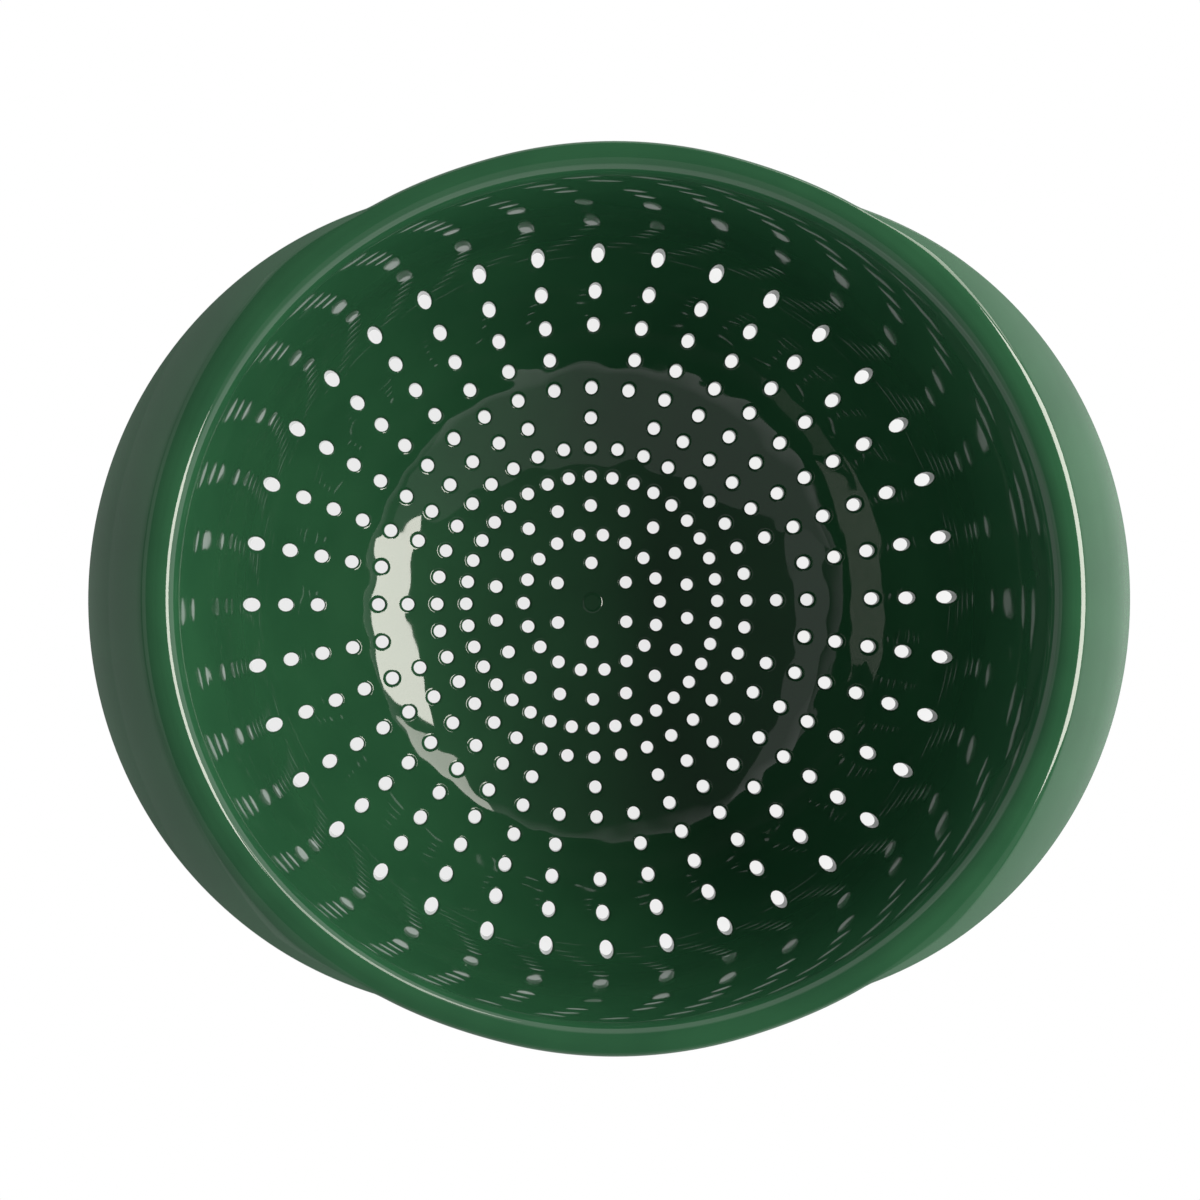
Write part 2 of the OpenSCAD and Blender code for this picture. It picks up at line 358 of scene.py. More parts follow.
ARCS = (
    (HEEL_C, HEEL_R, HEEL_SLOPE),
    (SIDE_C, SIDE_R, CORNER_SLOPE),
    (CORNER_C, CORNER_R, 90.0),
)


def face_at(r, side):
    """Height and slope of the wall at a radius: inside (side -1), outside (1) or in its middle (0)."""
    if r <= FLAT_R:
        return FLOOR_Z - side * WALL_T / 2, 0.0
    for centre, middle, end in ARCS:
        radius = middle + side * WALL_T / 2
        if r <= centre[0] + radius * sin(end):
            slope = asin((r - centre[0]) / radius)
            return centre[1] - radius * cos(slope), slope


def face_point(x, y, side):
    """Place and normal on one face of the wall, above a point of the plan."""
    r = math.hypot(x, y)
    z, slope = face_at(r, side)
    lean = side * sin(slope)
    normal = (lean * x / r, lean * y / r, -side * cos(slope))
    return (x, y, z), normal


def border_r(n, side):
    """Radius of the border between two rings of cells on one face, square to the wall's middle."""
    middle = ring_r(n)
    return middle + side * WALL_T / 2 * sin(face_at(middle, 0)[1])


def arc_steps(n):
    """Mesh steps along a cell's arcs, so that every ring has as many in all."""
    return ARC_STEPS * FULL_RING // RING_HOLES[n - 1]


def cell_border(n, side):
    """Plan points round a cell of ring n: out along the arc, in along its side and back."""
    half = 180 / RING_HOLES[n - 1]
    inner = border_r(n - 0.5, side)
    outer = border_r(n + 0.5, side)
    arcs = arc_steps(n)
    polar = [(outer, -half + 2 * half * i / arcs) for i in range(arcs)]
    polar += [(outer + (inner - outer) * i / SIDE_STEPS, half) for i in range(SIDE_STEPS)]
    polar += [(inner, half - 2 * half * i / arcs) for i in range(arcs)]
    polar += [(inner + (outer - inner) * i / SIDE_STEPS, -half) for i in range(SIDE_STEPS)]
    return [(r * cos(a), r * sin(a)) for r, a in polar]


def hole_angles(n):
    """Angles round a hole that face the points of its cell's border."""
    arcs = arc_steps(n)
    angles = [-45 + 90 * i / arcs for i in range(arcs)]
    angles += [45 + 90 * i / SIDE_STEPS for i in range(SIDE_STEPS)]
    angles += [135 + 90 * i / arcs for i in range(arcs)]
    angles += [225 + 90 * i / SIDE_STEPS for i in range(SIDE_STEPS)]
    return angles


def hole_point(n, angle, grow_x=0.0, grow_y=0.0):
    """Plan point on a hole's oval outline, grown along and across the radius."""
    x = ring_r(n) + (HOLE_W / 2 * SLOT_LENGTH_SHARES[n - 1] + grow_x) * cos(angle)
    return x, (HOLE_W / 2 + grow_y) * sin(angle)


def lean_in(n, angle, side):
    """Shift of a hole's outer side on the underside of the wall, which grows with its slope."""
    if side < 0 or cos(angle) <= 0:
        return 0.0
    return -HOLE_LEAN * face_at(ring_r(n), 0)[1] / HOLE_LEAN_SLOPE


def face_loops(n, side):
    """Loops of a cell on one face, from its border to the hole's wall: lists of (place, normal)."""
    soft = HOLE_SOFT[side]
    slope = face_at(ring_r(n), side)[1]
    loops = [[face_point(x, y, side) for x, y in cell_border(n, side)]]
    rounding = []
    for a in hole_angles(n):
        lean = lean_in(n, a, side)
        start, normal = face_point(*hole_point(n, a, soft * cos(slope) + lean, soft), side)
        corner, _ = face_point(*hole_point(n, a, lean), side)
        end = (corner[0], corner[1], corner[2] + side * soft)
        wall = Vector((-cos(a), -sin(a), 0.0))
        chain = []
        for i in range(SOFT_STEPS + 1):
            t = i / SOFT_STEPS
            place = [
                (1 - t) ** 2 * p + 2 * t * (1 - t) * c + t * t * e
                for p, c, e in zip(start, corner, end)
            ]
            chain.append((place, Vector(normal).lerp(wall, t).normalized()))
        rounding.append(chain)
    return loops + [list(loop) for loop in zip(*rounding)]


def cell_mesh(n, first, last):
    """One cell of ring n with its hole at azimuth 0. Only the first and last ring of a piece
    get faces on the seam to the next piece, because the other borders meet."""
    loops = face_loops(n, -1) + face_loops(n, 1)[::-1]
    size = len(loops[0])
    places = [p for loop in loops for p, normal in loop]
    normals = [normal for loop in loops for p, normal in loop]
    faces = loop_faces(len(loops), size)
    faces += seam_faces(n, first, last, 0, (len(loops) - 1) * size)
    return template_mesh("cell_%d" % n, places, normals, faces)


def seam_faces(n, first, last, inside, outside):
    """Faces that close a cell on its outer and its inner arc, between the wall's two faces."""
    size = 2 * arc_steps(n) + 2 * SIDE_STEPS
    spans = []
    if last:
        spans += range(arc_steps(n))
    if first:
        spans += range(arc_steps(n) + SIDE_STEPS, 2 * arc_steps(n) + SIDE_STEPS)
    return [
        (inside + k, outside + k, outside + (k + 1) % size, inside + (k + 1) % size) for k in spans
    ]


def blank_mesh(n):
    """One cell of ring n without a hole, for where a foot's wall stands under it."""
    half = 180 / RING_HOLES[n - 1]
    arcs = arc_steps(n)
    places = []
    normals = []
    faces = []
    for side in (-1, 1):
        inner = border_r(n - 0.5, side)
        outer = border_r(n + 0.5, side)
        base = len(places)
        for i in range(SIDE_STEPS + 1):
            r = inner + (outer - inner) * i / SIDE_STEPS
            for k in range(arcs + 1):
                a = -half + 2 * half * k / arcs
                place, normal = face_point(r * cos(a), r * sin(a), side)
                places.append(place)
                normals.append(normal)
        for i in range(SIDE_STEPS):
            for k in range(arcs):
                at = base + i * (arcs + 1) + k
                faces.append((at, at + 1, at + arcs + 2, at + arcs + 1))
    if n == HEEL_RINGS:
        row = SIDE_STEPS * (arcs + 1)
        outside = (SIDE_STEPS + 1) * (arcs + 1)
        faces += [
            (row + k, row + k + 1, outside + row + k + 1, outside + row + k) for k in range(arcs)
        ]
    return template_mesh("blank_%d" % n, places, normals, faces)


def template_mesh(name, places, normals, faces):
    """A mesh in metres that carries its normals as an attribute, for the tree to turn."""
    mesh = bpy.data.meshes.new(name)
    mesh.from_pydata([[c * MM for c in p] for p in places], [], faces)
    store = mesh.attributes.new("surface_normal", "FLOAT_VECTOR", "POINT")
    store.data.foreach_set("vector", np.array(normals, np.float32).ravel())
    return mesh


# Node helpers


def add(tree, kind, inputs=None, **settings):
    """Adds a node with its settings. An input is given a value or another node's output."""
    node = tree.nodes.new(kind)
    for key, value in settings.items():
        setattr(node, key, value)
    for key, value in (inputs or {}).items():
        if isinstance(value, bpy.types.NodeSocket):
            tree.links.new(value, node.inputs[key])
        else:
            node.inputs[key].default_value = value
    return node


def ring_tree():
    """Tree that sets a ring of cells round the axis. A cell is left blank where a foot stands
    under it, a given number of steps from the middle of each quarter."""
    tree = bpy.data.node_groups.new("ring_of_drain_holes", "GeometryNodeTree")
    for name, kind in (
        ("Cell", "NodeSocketGeometry"),
        ("Blank cell", "NodeSocketObject"),
        ("Holes", "NodeSocketInt"),
        ("First angle", "NodeSocketFloat"),
        ("Blank step", "NodeSocketInt"),
        ("Merge distance", "NodeSocketFloat"),
        ("Material", "NodeSocketMaterial"),
    ):
        tree.interface.new_socket(name, in_out="INPUT", socket_type=kind)
    tree.interface.new_socket("Ring", in_out="OUTPUT", socket_type="NodeSocketGeometry")
    given = add(tree, "NodeGroupInput").outputs
    index = add(tree, "GeometryNodeInputIndex").outputs[0]

    def sums(operation, first, second):
        return add(tree, "ShaderNodeMath", {0: first, 1: second}, operation=operation).outputs[0]

    step = sums("DIVIDE", math.tau, given["Holes"])
    turn = sums("ADD", given["First angle"], sums("MULTIPLY", index, step))
    quarter = sums("DIVIDE", given["Holes"], 4)
    past = sums("MODULO", index, quarter)
    from_middle = sums("MINIMUM", past, sums("SUBTRACT", quarter, past))
    blank = add(
        tree,
        "FunctionNodeCompare",
        {"A": from_middle, "B": given["Blank step"], "Epsilon": 0.1},
        data_type="FLOAT",
        operation="EQUAL",
    ).outputs[0]
    holed = add(tree, "FunctionNodeBooleanMath", {0: blank}, operation="NOT").outputs[0]
    points = add(tree, "GeometryNodePoints", {"Count": given["Holes"]}).outputs[0]
    marked = add(
        tree, "GeometryNodeStoreNamedAttribute", {"Geometry": points, "Name": "turn", "Value": turn}
    ).outputs[0]
    rotation = add(tree, "ShaderNodeCombineXYZ", {"Z": turn}).outputs[0]
    other = add(tree, "GeometryNodeObjectInfo", {"Object": given["Blank cell"]})
    copies = [
        add(
            tree,
            "GeometryNodeInstanceOnPoints",
            {"Points": marked, "Instance": cell, "Selection": chosen, "Rotation": rotation},
        ).outputs[0]
        for cell, chosen in ((given["Cell"], holed), (other.outputs["Geometry"], blank))
    ]
    both = add(tree, "GeometryNodeJoinGeometry")
    for copy in copies:
        tree.links.new(copy, both.inputs[0])
    real = add(tree, "GeometryNodeRealizeInstances", {0: both.outputs[0]}).outputs[0]
    own = add(
        tree, "GeometryNodeInputNamedAttribute", {"Name": "surface_normal"}, data_type="FLOAT_VECTOR"
    )
    angle = add(tree, "GeometryNodeInputNamedAttribute", {"Name": "turn"}, data_type="FLOAT")
    turned = add(
        tree,
        "ShaderNodeVectorRotate",
        {"Vector": own.outputs[0], "Angle": angle.outputs[0]},
        rotation_type="Z_AXIS",
    ).outputs[0]
    kept = add(
        tree,
        "GeometryNodeStoreNamedAttribute",
        {"Geometry": real, "Name": "surface_normal", "Value": turned},
        data_type="FLOAT_VECTOR",
    ).outputs[0]
    merged = add(
        tree, "GeometryNodeMergeByDistance", {"Geometry": kept, "Distance": given["Merge distance"]}
    ).outputs[0]
    painted = add(
        tree, "GeometryNodeSetMaterial", {"Geometry": merged, "Material": given["Material"]}
    ).outputs[0]
    add(tree, "NodeGroupOutput", {0: painted})
    return tree


def ring_mesh(tree, n, first, last, material):
    """Runs the tree for one ring and gives the result as a plain mesh."""
    host = bpy.data.objects.new("ring_%d" % n, cell_mesh(n, first, last))
    blank = bpy.data.objects.new("blank_%d" % n, blank_mesh(n))
    for o in (host, blank):
        bpy.context.scene.collection.objects.link(o)
    modifier = host.modifiers.new("drain holes", "NODES")
    modifier.node_group = tree
    values = {
        "Blank cell": blank,
        "Holes": RING_HOLES[n - 1],
        "First angle": math.radians(RING_TURNS[n - 1]),
        "Blank step": BLANK_STEPS.get(n, -1),
        "Merge distance": MERGE * MM,
        "Material": material,
    }
    for item in tree.interface.items_tree:
        if item.name in values:
            modifier[item.identifier] = values[item.name]
    depsgraph = bpy.context.evaluated_depsgraph_get()
    mesh = bpy.data.meshes.new_from_object(
        host.evaluated_get(depsgraph), preserve_all_data_layers=True, depsgraph=depsgraph
    )
    host.modifiers.remove(modifier)
    for o in (host, blank):
        bpy.data.objects.remove(o)
    return mesh


def pierced_piece(name, node, rings, tree, material, middle=None):
    """Joins the rings of one region, and the middle of the floor, to one closed shell."""
    bm = bmesh.new()
    for n in rings:
        mesh = ring_mesh(tree, n, n == rings[0] and middle is None, n == rings[-1], material)
        bm.from_mesh(mesh)
        bpy.data.meshes.remove(mesh)
    if middle is not None:
        bm.from_mesh(middle)
        bpy.data.meshes.remove(middle)
    bmesh.ops.remove_doubles(bm, verts=bm.verts, dist=MERGE * MM)
    bmesh.ops.recalc_face_normals(bm, faces=bm.faces)
    mesh = bpy.data.meshes.new(name)
    bm.to_mesh(mesh)
    bm.free()
    normals = np.zeros(3 * len(mesh.vertices), np.float32)
    mesh.attributes["surface_normal"].data.foreach_get("vector", normals)
    smooth_with(mesh, normals.reshape(-1, 3))
    for attribute in ("surface_normal", "turn"):
        mesh.attributes.remove(mesh.attributes[attribute])
    return new_piece(name, mesh, material, node)


def floor_middle():
    """The floor inside the first ring, with the low round gate mark, as a template mesh."""
    top = FLOOR_Z + WALL_T / 2
    under = FLOOR_Z - WALL_T / 2
    count = FULL_RING * ARC_STEPS
    outer = border_r(0.5, -1)
    inner_loop = GATE_R * 0.4
    # The mark's edge starts and ends with a small rounding, and is shaded with these two slopes
    rounding = 0.05
    foot_slope, top_slope = 19, 26
    # Radius, height, radial part and height part of the normal
    section = [
        (outer, top, 0, 1),
        (GATE_R + GATE_EDGE + rounding, top, 0, 1),
        (GATE_R + GATE_EDGE, top + GATE_RISE * rounding, sin(foot_slope), cos(foot_slope)),
        (GATE_R - GATE_EDGE, top + GATE_RISE * (1 - rounding), sin(top_slope), cos(top_slope)),
        (GATE_R - GATE_EDGE - rounding, top + GATE_RISE, 0, 1),
        (inner_loop, top + GATE_RISE, 0, 1),
    ]
    bottom = [(inner_loop, under, 0, -1), (outer, under, 0, -1)]
    places = []
    normals = []
    faces = []
    for chain, side in ((section, 1), (bottom, -1)):
        base = len(places)
        for r, z, nr, nz in chain:
            for k in range(count):
                a = 360 * (k + 0.5 * (ARC_STEPS % 2)) / count
                places.append((r * cos(a), r * sin(a), z))
                normals.append((nr * cos(a), nr * sin(a), nz))
        faces += loop_faces(len(chain), count, base)
        inner = base + (len(chain) - 1) * count if side > 0 else base
        pole = len(places)
        places.append((0.0, 0.0, chain[-1][1] if side > 0 else chain[0][1]))
        normals.append((0.0, 0.0, float(side)))
        faces += [(inner + k, inner + (k + 1) % count, pole) for k in range(count)]
    return template_mesh("floor_middle", places, normals, faces)


# Plain wall, rim and handles


def wall_line():
    """Middle line of the plain wall from its foot to the shoulder, as (radius, height, slope)."""
    line = []
    for i in range(WALL_STEPS + 1):
        slope = PLAIN_SEAM + (WALL_SLOPE - PLAIN_SEAM) * i / WALL_STEPS
        line.append((CORNER_C[0] + CORNER_R * sin(slope), CORNER_C[1] - CORNER_R * cos(slope), slope))
    foot = line[-1]
    top = (FLARE_C[0] - FLARE_R * sin(WALL_SLOPE), FLARE_C[1] + FLARE_R * cos(WALL_SLOPE))
    for i in range(1, WALL_STEPS):
        t = i / WALL_STEPS
        line.append((foot[0] + (top[0] - foot[0]) * t, foot[1] + (top[1] - foot[1]) * t, WALL_SLOPE))
    for i in range(WALL_STEPS + 1):
        slope = WALL_SLOPE + (TOP_SLOPE - WALL_SLOPE) * i / WALL_STEPS
        line.append((FLARE_C[0] - FLARE_R * sin(slope), FLARE_C[1] + FLARE_R * cos(slope), slope))
    return line


def wall_section(a):
    """Section of the plain wall at an azimuth: up the inside and down the outside."""
    faces = []
    for side in (-1, 1):
        reach = side * WALL_T / 2
        faces.append(
            [eased(r + reach * sin(s), z - reach * cos(s), s, side, a) for r, z, s in wall_line()]
        )
    return faces[0] + faces[1][::-1]


def eased(r, z, slope, side, a):
    """A point of the plain wall moved to the oval, which comes in gently from its foot to its top."""
    height = TOP_END[1] - EASE_FROM
    rise = min(1, max(0, (z - EASE_FROM) / height))
    growth = 6 * rise * (1 - rise) / height
    shift = swell(MOUTH_STRETCH, a)
    nr = side * sin(slope)
    nz = -side * cos(slope) - shift * growth * nr
    length = math.hypot(nr, nz)
    return r + shift * eased_step(rise), z, nr / length, nz / length


def rim_section(a):
    """Section of the rim at an azimuth: over the shoulder, down the lip and back underneath."""
    centre, radius = rim_edge(a)
    edge_x = centre + radius
    inner_r = max(radius - WALL_T, LEAST_BEND)
    inner_c = (edge_x - WALL_T - inner_r, TOTAL_H - WALL_T - inner_r)
    lip_c = (edge_x - WALL_T / 2, TOTAL_H - LIP_DEPTH + WALL_T / 2)
    over = bend(TOP_BEND_C, TOP_BEND_R, -TOP_SLOPE, 0, BEND_STEPS)
    under = bend(TOP_BEND_C, TOP_BEND_R - WALL_T, 0, -TOP_SLOPE, BEND_STEPS, hollow=True)
    return (
        stretched(over, MOUTH_STRETCH, a)
        + bend((centre, TOTAL_H - radius), radius, 0, 90, BEND_STEPS)
        + bend(lip_c, WALL_T / 2, 90, 270, BEND_STEPS)
        + bend(inner_c, inner_r, 90, 0, BEND_STEPS, hollow=True)
        + stretched(under, MOUTH_STRETCH, a)
    )


def handle_section(a):
    """Section of the right handle at an azimuth: the crown, its round edge and the underside."""
    centre, radius = rim_edge(a)
    edge_r = WALL_T / 2
    middle_r = CROWN_R - edge_r
    reach = CROWN_R - radius
    crown_c = (centre - reach * sin(ROOT_SLOPE), TOTAL_H - radius - reach * cos(ROOT_SLOPE))
    end = max(ROOT_SLOPE, asin((outline_at(a) - edge_r - crown_c[0]) / middle_r))
    edge_c = (crown_c[0] + middle_r * sin(end), crown_c[1] + middle_r * cos(end))
    under_r = CROWN_R - WALL_T
    under = min(end, asin((centre + radius - edge_r - crown_c[0]) / under_r))
    points = bend(crown_c, CROWN_R, ROOT_SLOPE, end, BEND_STEPS)
    points += bend(edge_c, edge_r, end, end + 180, BEND_STEPS)
    points += bend(crown_c, under_r, end, under, BEND_STEPS, hollow=True)
    # The last point closes the section inside the rim's edge
    deep = radius - edge_r
    points.append((centre + deep * sin(ROOT_SLOPE), TOTAL_H - radius + deep * cos(ROOT_SLOPE), -1, 0))
    return points


def handle_end():
    """Azimuth at which a handle's round edge has run into the rim."""
    a = 90.0
    while outline_at(a) < sum(rim_edge(a)) - WALL_T / 2:
        a -= 360 / OVAL_STEPS
    return a


# Feet


def foot_line():
    """Middle line of a foot's horseshoe in plan, as (x, y, left normal x, left normal y)."""
    leg = [FOOT_END_R + (FOOT_BEND_C - FOOT_END_R) * i / LEG_STEPS for i in range(LEG_STEPS)]
    line = [(x, -FOOT_BEND_R, 0, 1) for x in leg]
    for i in range(HORSESHOE_STEPS + 1):
        a = -90 + 180 * i / HORSESHOE_STEPS
        line.append((FOOT_BEND_C + FOOT_BEND_R * cos(a), FOOT_BEND_R * sin(a), -cos(a), -sin(a)))
    return line + [(x, FOOT_BEND_R, 0, -1) for x in reversed(leg)]


def foot_cap(end, first, last):
    """Points round an open end of a foot's wall, between two directions."""
    directions = [first + (last - first) * i / CAP_STEPS for i in range(1, CAP_STEPS)]
    return [(end[0], end[1], cos(a), sin(a)) for a in directions]


def foot_outline():
    """Points round a foot's wall as (x, y, outward normal x, outward normal y): along the inner side
    of its middle line, round one end, back along the outer side and round the other end."""
    line = foot_line()
    back = [(x, y, -nx, -ny) for x, y, nx, ny in reversed(line)]
    return line + foot_cap(line[-1], -90, -270) + back + foot_cap(line[0], 90, 270)


def foot_levels():
    """Levels of a foot's wall from the bottom up: how far out of the middle line, the height, and
    whether it is measured from the bowl's underside instead of from the table."""
    half = WALL_T / 2
    turns = [90 * i / ROUND_STEPS for i in range(ROUND_STEPS + 1)]
    levels = [(half - FOOT_SOFT * (1 - sin(a)), FOOT_SOFT * (1 - cos(a)), False) for a in turns]
    levels += [(half + FOOT_ROOT * (1 - cos(a)), -FOOT_ROOT * (1 - sin(a)), True) for a in turns]
    return levels + [(half + FOOT_ROOT, FOOT_SINK, True)]


def foot_mesh(turn):
    """One foot: a horseshoe wall with rounded lower edges, flared where it meets the bowl."""
    outline = foot_outline()
    levels = foot_levels()
    points = []
    for out, z, hung in levels:
        for x, y, nx, ny in outline:
            px = x + nx * out
            py = y + ny * out
            top = face_at(math.hypot(px, py), 1)[0] if hung else 0
            points.append((px * MM, py * MM, (top + z) * MM))
    size = len(outline)
    faces = loop_faces(len(levels), size)
    # The bottom and the top: a strip between the two sides, and a round at each open end
    side = len(foot_line())
    last = size - CAP_STEPS
    for base in (0, (len(levels) - 1) * size):
        for k in range(side - 1):
            faces.append((base + k, base + k + 1, base + last - k - 1, base + last - k))
        faces.append(tuple(base + side - 1 + k for k in range(CAP_STEPS + 1)))
        faces.append(tuple(base + (last + k) % size for k in range(CAP_STEPS + 1)))
    mesh = bpy.data.meshes.new("foot")
    mesh.from_pydata(points, [], faces)
    outward(mesh)
    mesh.transform(Matrix.Rotation(math.radians(turn), 4, "Z"))
    mesh.shade_smooth()
    mesh.set_sharp_from_angle(angle=math.radians(50))
    return mesh


# Materials


def linear(hex_colour):
    """An sRGB hex colour as linear red, green, blue and alpha."""
    parts = [int(hex_colour[i : i + 2], 16) / 255 for i in (1, 3, 5)]
    return [c / 12.92 if c <= 0.04045 else ((c + 0.055) / 1.055) ** 2.4 for c in parts] + [1.0]


def polished_polypropylene():
    """Polypropylene moulded against polished steel: an even deep green body under a mirror skin
    whose long shallow waves bend the edges of reflections."""
    material = bpy.data.materials.new("polished_moulded_polypropylene")
    material.use_nodes = True
    tree = material.node_tree
    tree.nodes.clear()
    place = add(tree, "ShaderNodeTexCoord").outputs["Object"]
    # Flow of the melt: clouds about 30 mm long, hardly a shade apart
    clouds = add(tree, "ShaderNodeTexNoise", {"Vector": place, "Scale": 1 / (30 * MM), "Detail": 3.0})
    colour = add(tree, "ShaderNodeValToRGB", {"Fac": clouds.outputs["Fac"]})
    colour.color_ramp.elements[0].position = 0.35
    colour.color_ramp.elements[0].color = linear("#244F34")
    colour.color_ramp.elements[1].position = 0.65
    colour.color_ramp.elements[1].color = linear("#285538")
    # Wear of the polish: patches about 8 mm wide that are a little less sharp
    patches = add(tree, "ShaderNodeTexNoise", {"Vector": place, "Scale": 1 / (8 * MM), "Detail": 5.0})
    dullness = ramp(tree, patches.outputs["Fac"], 0.3, 0.75, 0.02, 0.05)
    # Waves of the moulded skin, about 14 mm long and a few hundredths of a millimetre deep
    waves = add(tree, "ShaderNodeTexNoise", {"Vector": place, "Scale": 1 / (14 * MM), "Detail": 1.0})
    # Sink marks between the holes low in the bowl, about 10 mm wide and a tenth of a millimetre
    # deep, gone from 60 mm up. They make the borders of the mirrored lights wavy
    sinks = add(tree, "ShaderNodeTexNoise", {"Vector": place, "Scale": 1 / (10 * MM), "Detail": 0.0})
    height = add(tree, "ShaderNodeSeparateXYZ", {0: place}).outputs["Z"]
    depth = ramp(tree, height, 25 * MM, 60 * MM, 4.5, 0.0)
    surface = add(
        tree,
        "ShaderNodeMath",
        {0: sinks.outputs["Fac"], 1: depth, 2: waves.outputs["Fac"]},
        operation="MULTIPLY_ADD",
    )
    skin = add(
        tree, "ShaderNodeBump", {"Height": surface.outputs[0], "Strength": 1.0, "Distance": 0.06 * MM}
    )
    plastic = add(
        tree,
        "ShaderNodeBsdfPrincipled",
        {
            "Base Color": colour.outputs["Color"],
            "Roughness": dullness,
            "Normal": skin.outputs["Normal"],
            "IOR": 1.5,
        },
    )
    add(tree, "ShaderNodeOutputMaterial", {"Surface": plastic.outputs[0]})
    return material


def ramp(tree, value, start, end, first, last):
    """Value that runs from one number to another while its input runs from start to end."""
    limits = {"From Min": start, "From Max": end, "To Min": first, "To Max": last}
    return add(tree, "ShaderNodeMapRange", {"Value": value, **limits}).outputs["Result"]


def side_light(tree, sideways, radiances):
    """Radiance that changes from the left to the right with the sideways part of a direction."""
    return ramp(tree, sideways, -0.9, 0.9, *radiances)


def white_table():
    """White painted table. The camera sees it as plain white, but under the bowl, where the holes show
    it,
    with painted shade: a share of the white gives way to a grey paint that also takes the bowl's real
    shadow. For mirrored rays the table glows as painted light: under the bowl brighter on the left, in
    place of the light that slants in through the holes, and the far part as bright as the walls, so that
    no horizon shows in the wings."""
    material = bpy.data.materials.new("white_table")
    material.use_nodes = True
    tree = material.node_tree
    tree.nodes.clear()
    path = add(tree, "ShaderNodeLightPath").outputs
    place = add(tree, "ShaderNodeTexCoord").outputs["Object"]
    way = add(tree, "ShaderNodeVectorMath", {0: place}, operation="NORMALIZE").outputs[0]
    sideways = add(tree, "ShaderNodeSeparateXYZ", {0: way}).outputs["X"]
    away = add(tree, "ShaderNodeVectorMath", {0: place}, operation="LENGTH").outputs["Value"]
    # Painted glow of the table for mirrored rays: under the bowl brighter on the left, in place of the
    # light through the holes; far out as bright as the walls
    far = ramp(tree, away, TABLE_TURNS[0] * MM, TABLE_TURNS[1] * MM, 0.0, 1.0)
    near_light = side_light(tree, sideways, UNDER_BOWL)
    far_light = side_light(tree, sideways, WALLS)
    strength = add(tree, "ShaderNodeMix", {0: far, 2: near_light, 3: far_light}).outputs[0]
    paint = add(tree, "ShaderNodeBsdfDiffuse", {"Color": linear("#F0F0F0")}).outputs[0]
    gleam = add(tree, "ShaderNodeEmission", {"Color": linear("#FFFFFF"), "Strength": strength}).outputs[0]
    plain = add(tree, "ShaderNodeEmission", {"Color": linear("#FFFFFF"), "Strength": 1.0}).outputs[0]
    lit = add(tree, "ShaderNodeMixShader", {0: path["Is Glossy Ray"], 1: paint, 2: gleam}).outputs[0]
    # Painted shade: under the bowl a share of the plain white gives way to grey paint, which also takes
    # the bowl's real shadow
    shade = ramp(tree, away, SHADE_FADES[0] * MM, SHADE_FADES[1] * MM, SHADE, 0.0)
    shaded = add(tree, "ShaderNodeBsdfDiffuse", {"Color": linear("#999999")}).outputs[0]
    seen = add(tree, "ShaderNodeMixShader", {0: shade, 1: plain, 2: shaded}).outputs[0]
    mixed = add(tree, "ShaderNodeMixShader", {0: path["Is Camera Ray"], 1: lit, 2: seen}).outputs[0]
    add(tree, "ShaderNodeOutputMaterial", {"Surface": mixed})
    return material


# Stage


def make_table():
    """A wide white table under the feet."""
    half = 4000 * MM
    mesh = bpy.data.meshes.new("table")
    mesh.from_pydata(
        [(-half, -half, 0), (half, -half, 0), (half, half, 0), (-half, half, 0)], [], [(0, 1, 2, 3)]
    )
    table = bpy.data.objects.new("table", mesh)
    bpy.context.scene.collection.objects.link(table)
    mesh.materials.append(white_table())


def make_room():
    """World light: a dim ceiling and brighter walls that differ to the left and right. The camera
    sees it white."""
    world = bpy.data.worlds.new("studio")
    bpy.context.scene.world = world
    world.use_nodes = True
    tree = world.node_tree
    tree.nodes.clear()
    way = add(tree, "ShaderNodeTexCoord").outputs["Generated"]
    parts = add(tree, "ShaderNodeSeparateXYZ", {0: way}).outputs
    sideways = side_light(tree, parts["X"], WALLS)
    # The walls fade out from 66 degrees off the vertical up to 57 degrees off it
    walls = ramp(tree, parts["Z"], cos(66), cos(57), 1.0, 0.0)
    light = add(
        tree, "ShaderNodeMath", {0: walls, 1: sideways, 2: CEILING}, operation="MULTIPLY_ADD"
    ).outputs[0]
    room = add(tree, "ShaderNodeBackground", {"Color": linear("#FFFFFF"), "Strength": light}).outputs[0]
    plain = add(tree, "ShaderNodeBackground", {"Color": linear("#FFFFFF"), "Strength": 1.0}).outputs[0]
    seen = add(tree, "ShaderNodeLightPath").outputs["Is Camera Ray"]
    mixed = add(tree, "ShaderNodeMixShader", {0: seen, 1: room, 2: plain}).outputs[0]
    add(tree, "ShaderNodeOutputWorld", {"Surface": mixed})


def softbox(name, across, along, radiance, colour="#FFFFFF"):
    """A rectangular light that hangs level above the table. It spans two pairs of shares of its
    height, across to the right and along to the back, so that its edges show where the plastic
    mirrors them."""
    height = 1200 * MM
    light = bpy.data.lights.new(name, "AREA")
    light.shape = "RECTANGLE"
    light.size = height * (across[1] - across[0])
    light.size_y = height * (along[1] - along[0])
    light.energy = radiance * math.pi * light.size * light.size_y
    light.color = linear(colour)[:3]
    lamp = bpy.data.objects.new(name, light)
    middle = Vector((sum(across), sum(along), 2)) * height / 2
    lamp.location = middle + Vector((0, 0, 20 * MM))
    lamp.visible_camera = False
    bpy.context.scene.collection.objects.link(lamp)


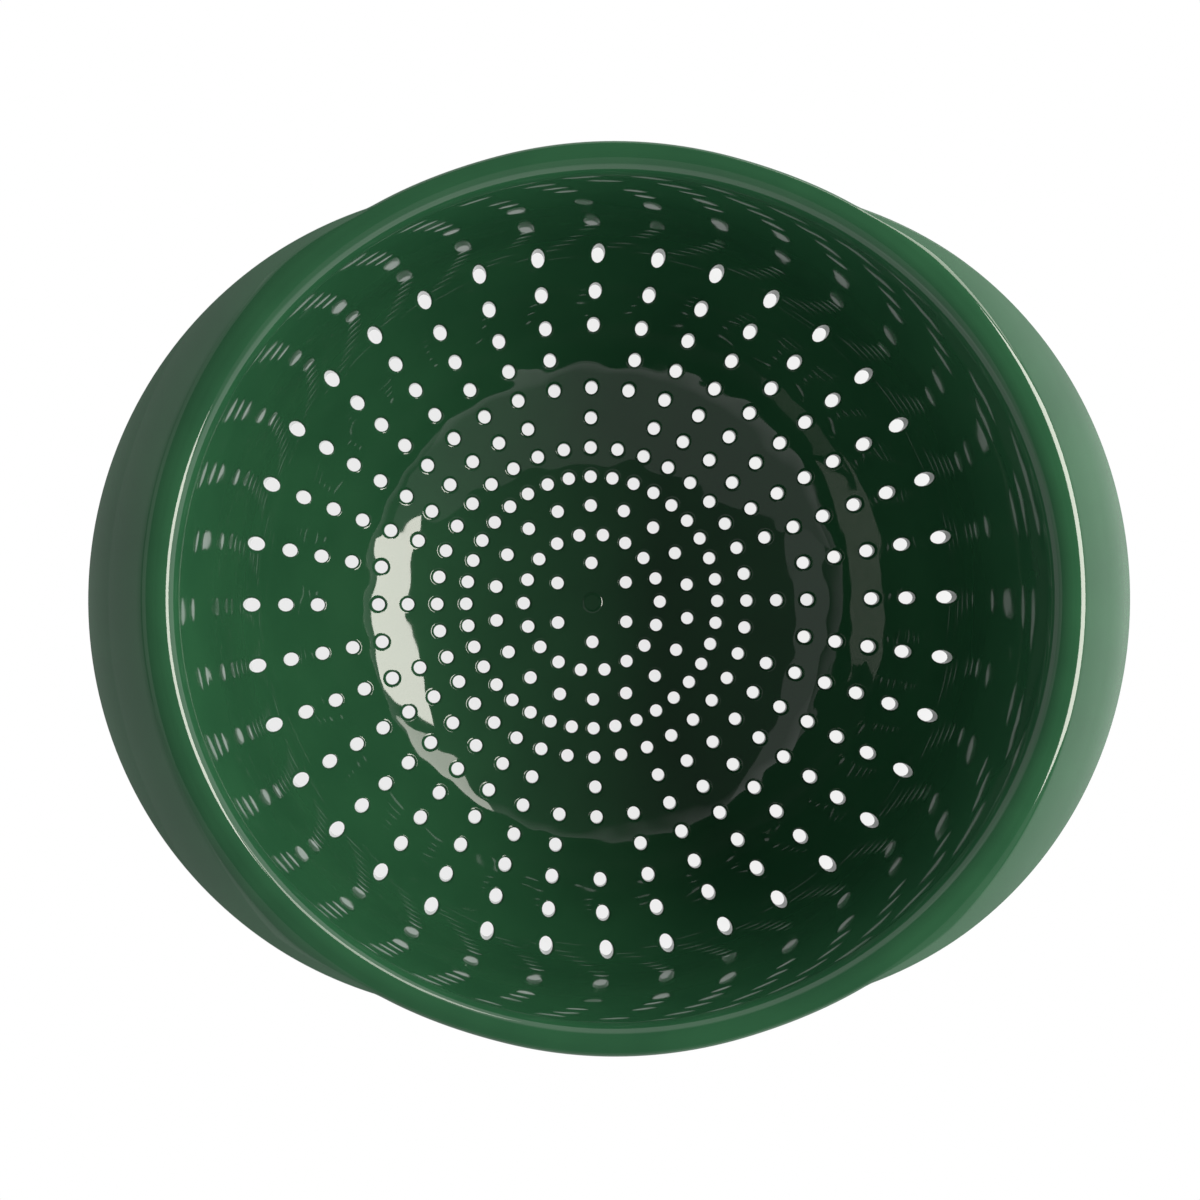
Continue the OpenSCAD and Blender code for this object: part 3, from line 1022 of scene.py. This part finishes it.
def make_lights():
    """The studio's lights, with the outlines that the plastic mirrors: a large warm key on the right
    with a dimmer end behind it, and two dim cards, on the left and in front."""
    warm = "#FFFBF2"
    softbox("key", (0.85, 1.55), (-0.38, 0.64), 15.0, warm)
    softbox("key_end", (0.85, 1.45), (0.78, 2.8), 7.0, warm)
    softbox("left_card", (-1.42, -0.86), (-0.35, 1.5), 0.5)
    softbox("front_card", (-1.6, 1.2), (-1.7, -0.34), 0.38)


def make_camera():
    """Camera straight above the bowl, a little left of its axis. Its place and tilt were solved
    from the rings of holes, and the focal length is in pixels of the 1200 pixel photograph."""
    photo_px = 1200
    focal_px = 2500
    sensor = 36
    place = Vector((-53.47, -7.88, 841.0)) * MM
    to_camera = Matrix.Identity(3)
    for tilt, axis in ((-0.627, "X"), (3.860, "Y"), (0.683, "Z")):
        to_camera = to_camera @ Matrix.Rotation(math.radians(tilt), 3, axis)
    data = bpy.data.cameras.new("camera")
    data.sensor_width = sensor
    data.lens = sensor * focal_px / photo_px
    # Half a pixel of shift, because the solve measured from a pixel's corner
    data.shift_x = -0.5 / photo_px
    data.shift_y = 0.5 / photo_px
    camera = bpy.data.objects.new("camera", data)
    camera.matrix_world = Matrix.Translation(place) @ to_camera.transposed().to_4x4()
    bpy.context.scene.collection.objects.link(camera)
    bpy.context.scene.camera = camera


def main():
    bpy.context.scene.view_settings.view_transform = "Standard"
    make_camera()
    make_table()
    make_room()
    make_lights()
    plastic = polished_polypropylene()
    tree = ring_tree()
    floor = range(1, FLOOR_RINGS + 1)
    heel = range(FLOOR_RINGS + 1, HEEL_RINGS + 1)
    side = range(HEEL_RINGS + 1, RINGS + 1)
    pierced_piece("bowl_floor", "floor_disc", floor, tree, plastic, floor_middle())
    pierced_piece("bowl_heel", "heel_wall", heel, tree, plastic)
    pierced_piece("bowl_side", "pierced_wall", side, tree, plastic)
    bpy.data.node_groups.remove(tree)
    round_steps = [360 * i / OVAL_STEPS for i in range(OVAL_STEPS)]
    new_piece("bowl_wall", lofted("bowl_wall", wall_section, round_steps, True), plastic, "plain_wall")
    new_piece("rim", lofted("rim", rim_section, round_steps, True), plastic, "rim_roll")
    end = handle_end()
    steps = round(2 * end * OVAL_STEPS / 360)
    wing_steps = [-end + 2 * end * i / steps for i in range(steps + 1)]
    right = lofted("right_wing", handle_section, wing_steps, False)
    left = lofted("left_wing", handle_section, wing_steps, False, 180)
    new_piece("right_wing", right, plastic, "right_handle")
    new_piece("left_wing", left, plastic, "left_handle")
    for name, node, turn in (
        ("foot_right", "right_foot", 0),
        ("foot_back", "back_foot", 90),
        ("foot_left", "left_foot", 180),
        ("foot_front", "front_foot", 270),
    ):
        new_piece(name, foot_mesh(turn), plastic, node)


main()
